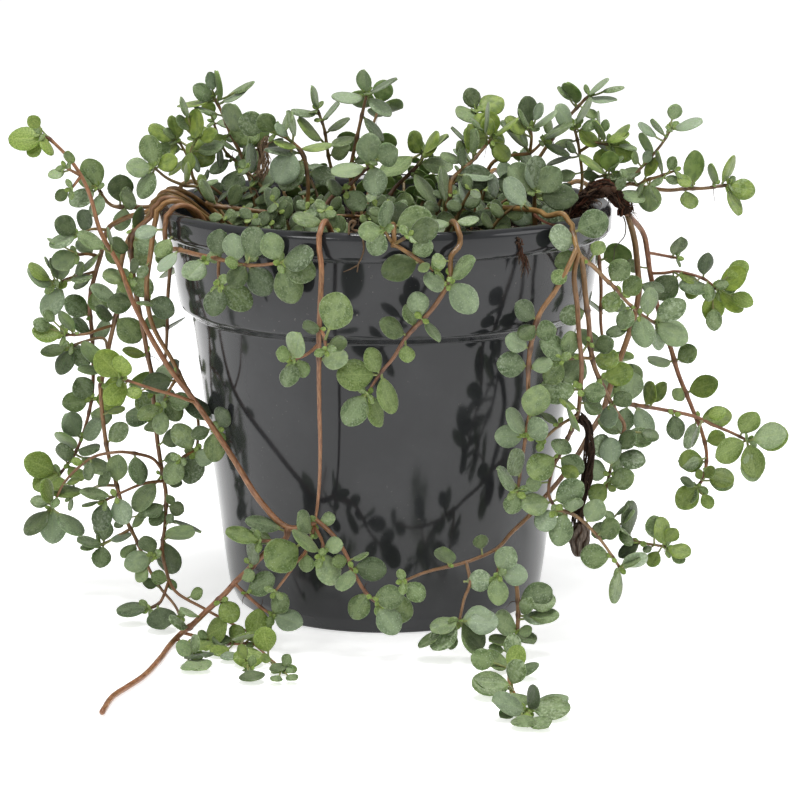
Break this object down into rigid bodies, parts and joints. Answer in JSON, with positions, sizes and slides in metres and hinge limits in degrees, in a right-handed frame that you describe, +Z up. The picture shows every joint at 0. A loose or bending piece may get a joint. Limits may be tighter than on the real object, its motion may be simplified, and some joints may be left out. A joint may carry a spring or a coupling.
{
  "type": "potted trailing plant",
  "caption": "Trailing pilea with small round silvery leaves on thin pinkish stems, spilling over the rim of a round glossy black nursery pot with drain holes",
  "frame": {"origin": "centre of the pot's flat underside, where it rests", "axes": "+Z up along the pot's axis, -Y to the front that the picture shows, +X to the right"},
  "size_m": [0.2052, 0.1909, 0.1415],
  "materials": {
    "pot": "glossy",
    "soil": "rough",
    "plant": "satin"
  },
  "bodies": {
    "root": {"pot": "pot", "soil": "soil", "stem_back_1": "plant", "stem_back_2": "plant", "stem_back_3": "plant", "stem_back_4": "plant", "stem_back_5": "plant", "stem_collar": "plant", "stem_front_long": "plant", "stem_front_right": "plant", "stem_inner_left": "plant", "stem_left_a": "plant", "stem_left_b": "plant", "stem_left_c": "plant", "stem_left_d": "plant", "stem_left_e": "plant", "stem_rear_1": "plant", "stem_rear_2": "plant", "stem_rear_3": "plant", "stem_right_front": "plant", "stem_right_long": "plant", "stem_rim_middle": "plant", "stem_top_a": "plant", "stem_top_b": "plant", "stem_top_c": "plant", "stem_top_d": "plant", "stem_top_e": "plant", "stem_top_f": "plant", "stem_top_g": "plant", "stem_top_h": "plant", "stem_top_i": "plant", "stem_top_j": "plant", "stem_top_k": "plant", "stem_top_l": "plant", "stem_top_m": "plant", "stem_top_n": "plant", "stem_top_o": "plant"}
  },
  "joints": []
}
